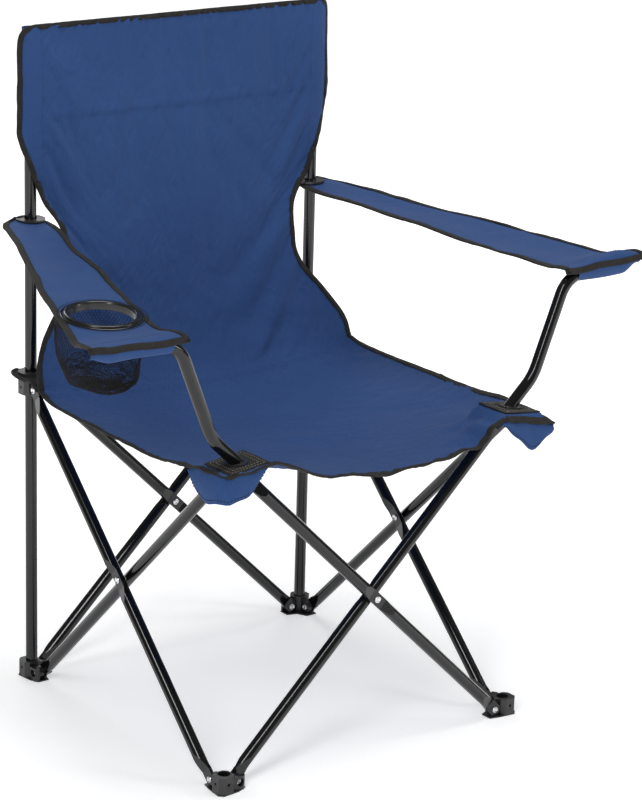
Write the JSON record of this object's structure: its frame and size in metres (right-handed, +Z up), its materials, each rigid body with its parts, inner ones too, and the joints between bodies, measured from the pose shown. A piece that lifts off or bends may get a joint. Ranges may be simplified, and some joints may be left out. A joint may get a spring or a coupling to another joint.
{
  "type": "folding camp chair",
  "caption": "Folding camp chair with slung fabric seat, high back and armrests on a crossed black tube frame, with a mesh cup holder in one armrest.",
  "frame": {"origin": "on the floor, under the middle of the bounding box", "axes": "+Z up, the chair faces -Y, +X towards the side without the cup holder"},
  "size_m": [0.816, 0.496, 0.845],
  "materials": {
    "steel_black": "gloss",
    "plastic_black": "satin",
    "rivet_silver": "satin",
    "cloth_blue": "woven",
    "patch_grey": "woven",
    "mesh_black": "open net"
  },
  "bodies": {
    "left_post_frame": {"foot_rear_left": "plastic_black", "foot_rivets_rear_left": "rivet_silver", "post_left": "steel_black", "post_cap_left": "plastic_black", "back_upper": "cloth_blue"},
    "back_outer": {"brace_back_outer": "steel_black", "cross_rivet_back": "rivet_silver"},
    "back_inner": {"brace_back_inner": "steel_black"},
    "right_post_frame": {"foot_rear_right": "plastic_black", "foot_rivets_rear_right": "rivet_silver", "post_right": "steel_black", "post_cap_right": "plastic_black"},
    "rear_right_hub": {"hub_rear_right": "plastic_black", "hub_rivets_rear_right": "rivet_silver", "seat_ear_right": "patch_grey", "ear_ring_right": "plastic_black"},
    "rear_left_hub": {"hub_rear_left": "plastic_black", "hub_rivets_rear_left": "rivet_silver", "seat_ear_left": "patch_grey", "ear_ring_left": "plastic_black"},
    "left_inner": {"brace_left_inner": "steel_black", "cross_rivet_left": "rivet_silver"},
    "left_outer": {"brace_left_outer": "steel_black"},
    "front_left_foot": {"foot_front_left": "plastic_black", "foot_rivets_front_left": "rivet_silver"},
    "front_left_hub": {"hub_front_left": "plastic_black", "hub_rivets_front_left": "rivet_silver", "arm_post_left": "steel_black", "arm_cap_left": "plastic_black", "grommet_left": "plastic_black", "corner_patch_left": "patch_grey", "corner_flap_left": "cloth_blue"},
    "right_outer": {"brace_right_outer": "steel_black", "cross_rivet_right": "rivet_silver"},
    "right_inner": {"brace_right_inner": "steel_black"},
    "front_right_foot": {"foot_front_right": "plastic_black", "foot_rivets_front_right": "rivet_silver"},
    "front_right_hub": {"hub_front_right": "plastic_black", "hub_rivets_front_right": "rivet_silver", "arm_post_right": "steel_black", "arm_cap_right": "plastic_black", "grommet_right": "plastic_black", "corner_patch_right": "patch_grey", "corner_flap_right": "cloth_blue"},
    "front_inner": {"brace_front_inner": "steel_black", "cross_rivet_front": "rivet_silver"},
    "front_outer": {"brace_front_outer": "steel_black"},
    "left_collar": {"collar_left": "plastic_black"},
    "right_collar": {"collar_right": "plastic_black"},
    "left_arm_rear": {"arm_left_rear": "cloth_blue"},
    "left_arm_front": {"arm_left_front": "cloth_blue", "cup_ring": "plastic_black", "cup_bag": "mesh_black"},
    "right_arm_rear": {"arm_right_rear": "cloth_blue"},
    "right_arm_front": {"arm_right_front": "cloth_blue"},
    "seat_rear_half": {"seat_rear": "cloth_blue"},
    "seat_front_half": {"seat_front": "cloth_blue"},
    "back_lower_half": {"back_lower": "cloth_blue"}
  },
  "joints": [
    {"name": "fold", "type": "hinge", "parent": "left_post_frame", "child": "back_outer", "pos_m": [-0.197, 0.224, 0.01], "axis": [0, -1, 0], "range_deg": [0, 36], "deforming": ["back_upper", "back_lower", "seat_rear", "seat_front", "arm_left_rear", "arm_left_front", "arm_right_rear", "arm_right_front"]},
    {"name": "back_cross", "type": "hinge", "parent": "back_outer", "child": "back_inner", "pos_m": [0, 0.224, 0.1995], "axis": [0, -1, 0], "range_deg": [-72, 0]},
    {"name": "rear_right_foot_pivot", "type": "hinge", "parent": "back_inner", "child": "right_post_frame", "pos_m": [0.197, 0.224, 0.01], "axis": [0, -1, 0], "range_deg": [0, 36]},
    {"name": "rear_right_hub_pivot", "type": "hinge", "parent": "back_outer", "child": "rear_right_hub", "pos_m": [0.197, 0.224, 0.389], "axis": [0, -1, 0], "range_deg": [-36, 0]},
    {"name": "rear_left_hub_pivot", "type": "hinge", "parent": "back_inner", "child": "rear_left_hub", "pos_m": [-0.197, 0.224, 0.389], "axis": [0, -1, 0], "range_deg": [0, 36]},
    {"name": "rear_left_foot_pivot", "type": "hinge", "parent": "left_post_frame", "child": "left_inner", "pos_m": [-0.215, 0.206, 0.01], "axis": [-1, 0, 0], "range_deg": [0, 36]},
    {"name": "left_cross", "type": "hinge", "parent": "left_inner", "child": "left_outer", "pos_m": [-0.215, 0.009, 0.1995], "axis": [-1, 0, 0], "range_deg": [-72, 0]},
    {"name": "front_left_foot_pivot", "type": "hinge", "parent": "left_outer", "child": "front_left_foot", "pos_m": [-0.215, -0.188, 0.01], "axis": [-1, 0, 0], "range_deg": [0, 36]},
    {"name": "front_left_hub_pivot", "type": "hinge", "parent": "left_inner", "child": "front_left_hub", "pos_m": [-0.215, -0.188, 0.389], "axis": [-1, 0, 0], "range_deg": [-36, 0]},
    {"name": "rear_right_side_pivot", "type": "hinge", "parent": "right_post_frame", "child": "right_outer", "pos_m": [0.215, 0.206, 0.01], "axis": [-1, 0, 0], "range_deg": [0, 36]},
    {"name": "right_cross", "type": "hinge", "parent": "right_outer", "child": "right_inner", "pos_m": [0.215, 0.009, 0.1995], "axis": [-1, 0, 0], "range_deg": [-72, 0]},
    {"name": "front_right_foot_pivot", "type": "hinge", "parent": "right_inner", "child": "front_right_foot", "pos_m": [0.215, -0.188, 0.01], "axis": [-1, 0, 0], "range_deg": [0, 36]},
    {"name": "front_right_hub_pivot", "type": "hinge", "parent": "right_outer", "child": "front_right_hub", "pos_m": [0.215, -0.188, 0.389], "axis": [-1, 0, 0], "range_deg": [-36, 0]},
    {"name": "front_left_brace_pivot", "type": "hinge", "parent": "front_left_foot", "child": "front_inner", "pos_m": [-0.197, -0.206, 0.01], "axis": [0, -1, 0], "range_deg": [0, 36]},
    {"name": "front_right_brace_pivot", "type": "hinge", "parent": "front_right_foot", "child": "front_outer", "pos_m": [0.197, -0.206, 0.01], "axis": [0, -1, 0], "range_deg": [-36, 0]},
    {"name": "left_collar_slide", "type": "slide", "parent": "left_post_frame", "child": "left_collar", "axis": [0, 0, 1], "range_m": [0, 0.02501]},
    {"name": "right_collar_slide", "type": "slide", "parent": "right_post_frame", "child": "right_collar", "axis": [0, 0, 1], "range_m": [0, 0.02501]},
    {"name": "left_arm_rear_hinge", "type": "hinge", "parent": "left_collar", "child": "left_arm_rear", "pos_m": [-0.215, 0.214, 0.601], "axis": [1, 0, 0], "range_deg": [0, 67.91]},
    {"name": "right_arm_rear_hinge", "type": "hinge", "parent": "right_collar", "child": "right_arm_rear", "pos_m": [0.215, 0.214, 0.601], "axis": [1, 0, 0], "range_deg": [0, 67.91]},
    {"name": "left_arm_front_hinge", "type": "hinge", "parent": "front_left_hub", "child": "left_arm_front", "pos_m": [-0.32, -0.206, 0.56], "axis": [-1, 0, 0], "range_deg": [0, 76.31]},
    {"name": "right_arm_front_hinge", "type": "hinge", "parent": "front_right_hub", "child": "right_arm_front", "pos_m": [0.32, -0.206, 0.56], "axis": [-1, 0, 0], "range_deg": [0, 76.31]},
    {"name": "seat_rear_hinge", "type": "hinge", "parent": "rear_left_hub", "child": "seat_rear_half", "pos_m": [0, 0.163, 0.403], "axis": [1, 0, 0], "range_deg": [0, 78.91]},
    {"name": "seat_front_hinge", "type": "hinge", "parent": "front_left_hub", "child": "seat_front_half", "pos_m": [0, -0.206, 0.405], "axis": [-1, 0, 0], "range_deg": [0, 78.91]},
    {"name": "back_lower_slide", "type": "slide", "parent": "left_post_frame", "child": "back_lower_half", "axis": [0, -0.0995, 0.995], "range_m": [0, 0.15901]}
  ],
  "couplings": [
    {"joint": "back_cross", "follows": "fold", "ratio": -2},
    {"joint": "rear_right_foot_pivot", "follows": "fold", "ratio": 1},
    {"joint": "rear_right_hub_pivot", "follows": "fold", "ratio": -1},
    {"joint": "rear_left_hub_pivot", "follows": "fold", "ratio": 1},
    {"joint": "rear_left_foot_pivot", "follows": "fold", "ratio": 1},
    {"joint": "left_cross", "follows": "fold", "ratio": -2},
    {"joint": "front_left_foot_pivot", "follows": "fold", "ratio": 1},
    {"joint": "front_left_hub_pivot", "follows": "fold", "ratio": -1},
    {"joint": "rear_right_side_pivot", "follows": "fold", "ratio": 1},
    {"joint": "right_cross", "follows": "fold", "ratio": -2},
    {"joint": "front_right_foot_pivot", "follows": "fold", "ratio": 1},
    {"joint": "front_right_hub_pivot", "follows": "fold", "ratio": -1},
    {"joint": "front_left_brace_pivot", "follows": "fold", "ratio": 1},
    {"joint": "front_right_brace_pivot", "follows": "fold", "ratio": -1},
    {"joint": "left_collar_slide", "follows": "fold", "m_per_rad": 0.039789},
    {"joint": "right_collar_slide", "follows": "fold", "m_per_rad": 0.039789},
    {"joint": "left_arm_rear_hinge", "follows": "fold", "ratio": 1.8861},
    {"joint": "right_arm_rear_hinge", "follows": "fold", "ratio": 1.8861},
    {"joint": "left_arm_front_hinge", "follows": "fold", "ratio": 2.1194},
    {"joint": "right_arm_front_hinge", "follows": "fold", "ratio": 2.1194},
    {"joint": "seat_rear_hinge", "follows": "fold", "ratio": 2.1917},
    {"joint": "seat_front_hinge", "follows": "fold", "ratio": 2.1917},
    {"joint": "back_lower_slide", "follows": "fold", "m_per_rad": 0.25306}
  ]
}
